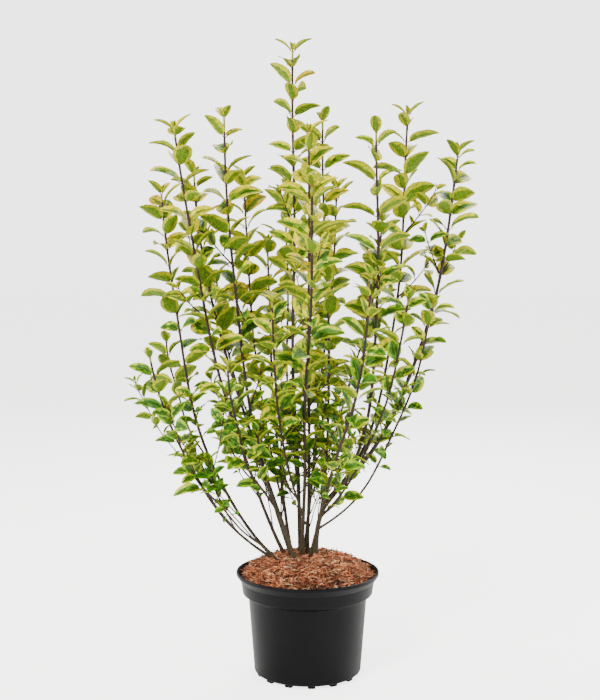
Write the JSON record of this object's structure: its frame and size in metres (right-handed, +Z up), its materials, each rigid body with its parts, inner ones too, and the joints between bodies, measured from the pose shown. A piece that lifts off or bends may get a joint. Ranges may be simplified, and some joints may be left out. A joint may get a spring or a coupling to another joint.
{
  "type": "potted shrub",
  "caption": "Container-grown golden privet shrub: upright leafy shoots with yellow-margined leaves, in a black plastic nursery pot topped with bark mulch.",
  "frame": {"origin": "on the floor plane under the pot's feet, on the pot's axis, which is the centre of the whole plant's footprint", "axes": "+Z up along the pot's axis; -Y towards the pictured front; +X to the right in that view"},
  "size_m": [0.5532, 0.519, 1.0245],
  "materials": {
    "pot": "black injection-moulded polypropylene, satin",
    "mulch": "shredded reddish-brown bark over compost",
    "bark": "thin grey-brown bark with small pale pores",
    "foliage": "glossy leaves, yellow margins round green centres"
  },
  "bodies": {
    "root": {"bough_centre_right": "bark", "bough_right_back": "bark", "cane_back": "bark", "cane_back_left": "bark", "cane_centre_back": "bark", "cane_centre_front": "bark", "cane_far_left": "bark", "cane_front": "bark", "cane_front_right": "bark", "cane_inner_left": "bark", "cane_leader": "bark", "cane_left": "bark", "cane_left_front": "bark", "cane_middle_left": "bark", "cane_right": "bark", "cane_thin_left": "bark", "foliage_back": "foliage", "foliage_back_left": "foliage", "foliage_back_left_high": "foliage", "foliage_back_left_low": "foliage", "foliage_back_low": "foliage", "foliage_back_right": "foliage", "foliage_centre_back": "foliage", "foliage_centre_front": "foliage", "foliage_centre_right": "foliage", "foliage_far_left": "foliage", "foliage_front": "foliage", "foliage_front_right": "foliage", "foliage_front_right_low": "foliage", "foliage_inner_left": "foliage", "foliage_leader": "foliage", "foliage_leader_back": "foliage", "foliage_left": "foliage", "foliage_left_back": "foliage", "foliage_left_front": "foliage", "foliage_low_front_left": "foliage", "foliage_low_left": "foliage", "foliage_low_right": "foliage", "foliage_middle_left": "foliage", "foliage_right": "foliage", "foliage_right_back": "foliage", "foliage_right_back_low": "foliage", "foliage_sprig_back_left": "foliage", "foliage_sprig_centre_back": "foliage", "foliage_sprig_leader": "foliage", "foliage_sprig_left_front": "foliage", "foliage_sprig_middle_left": "foliage", "foliage_sprig_right": "foliage", "foliage_thin_left": "foliage", "mulch": "mulch", "pot": "pot"}
  },
  "joints": []
}
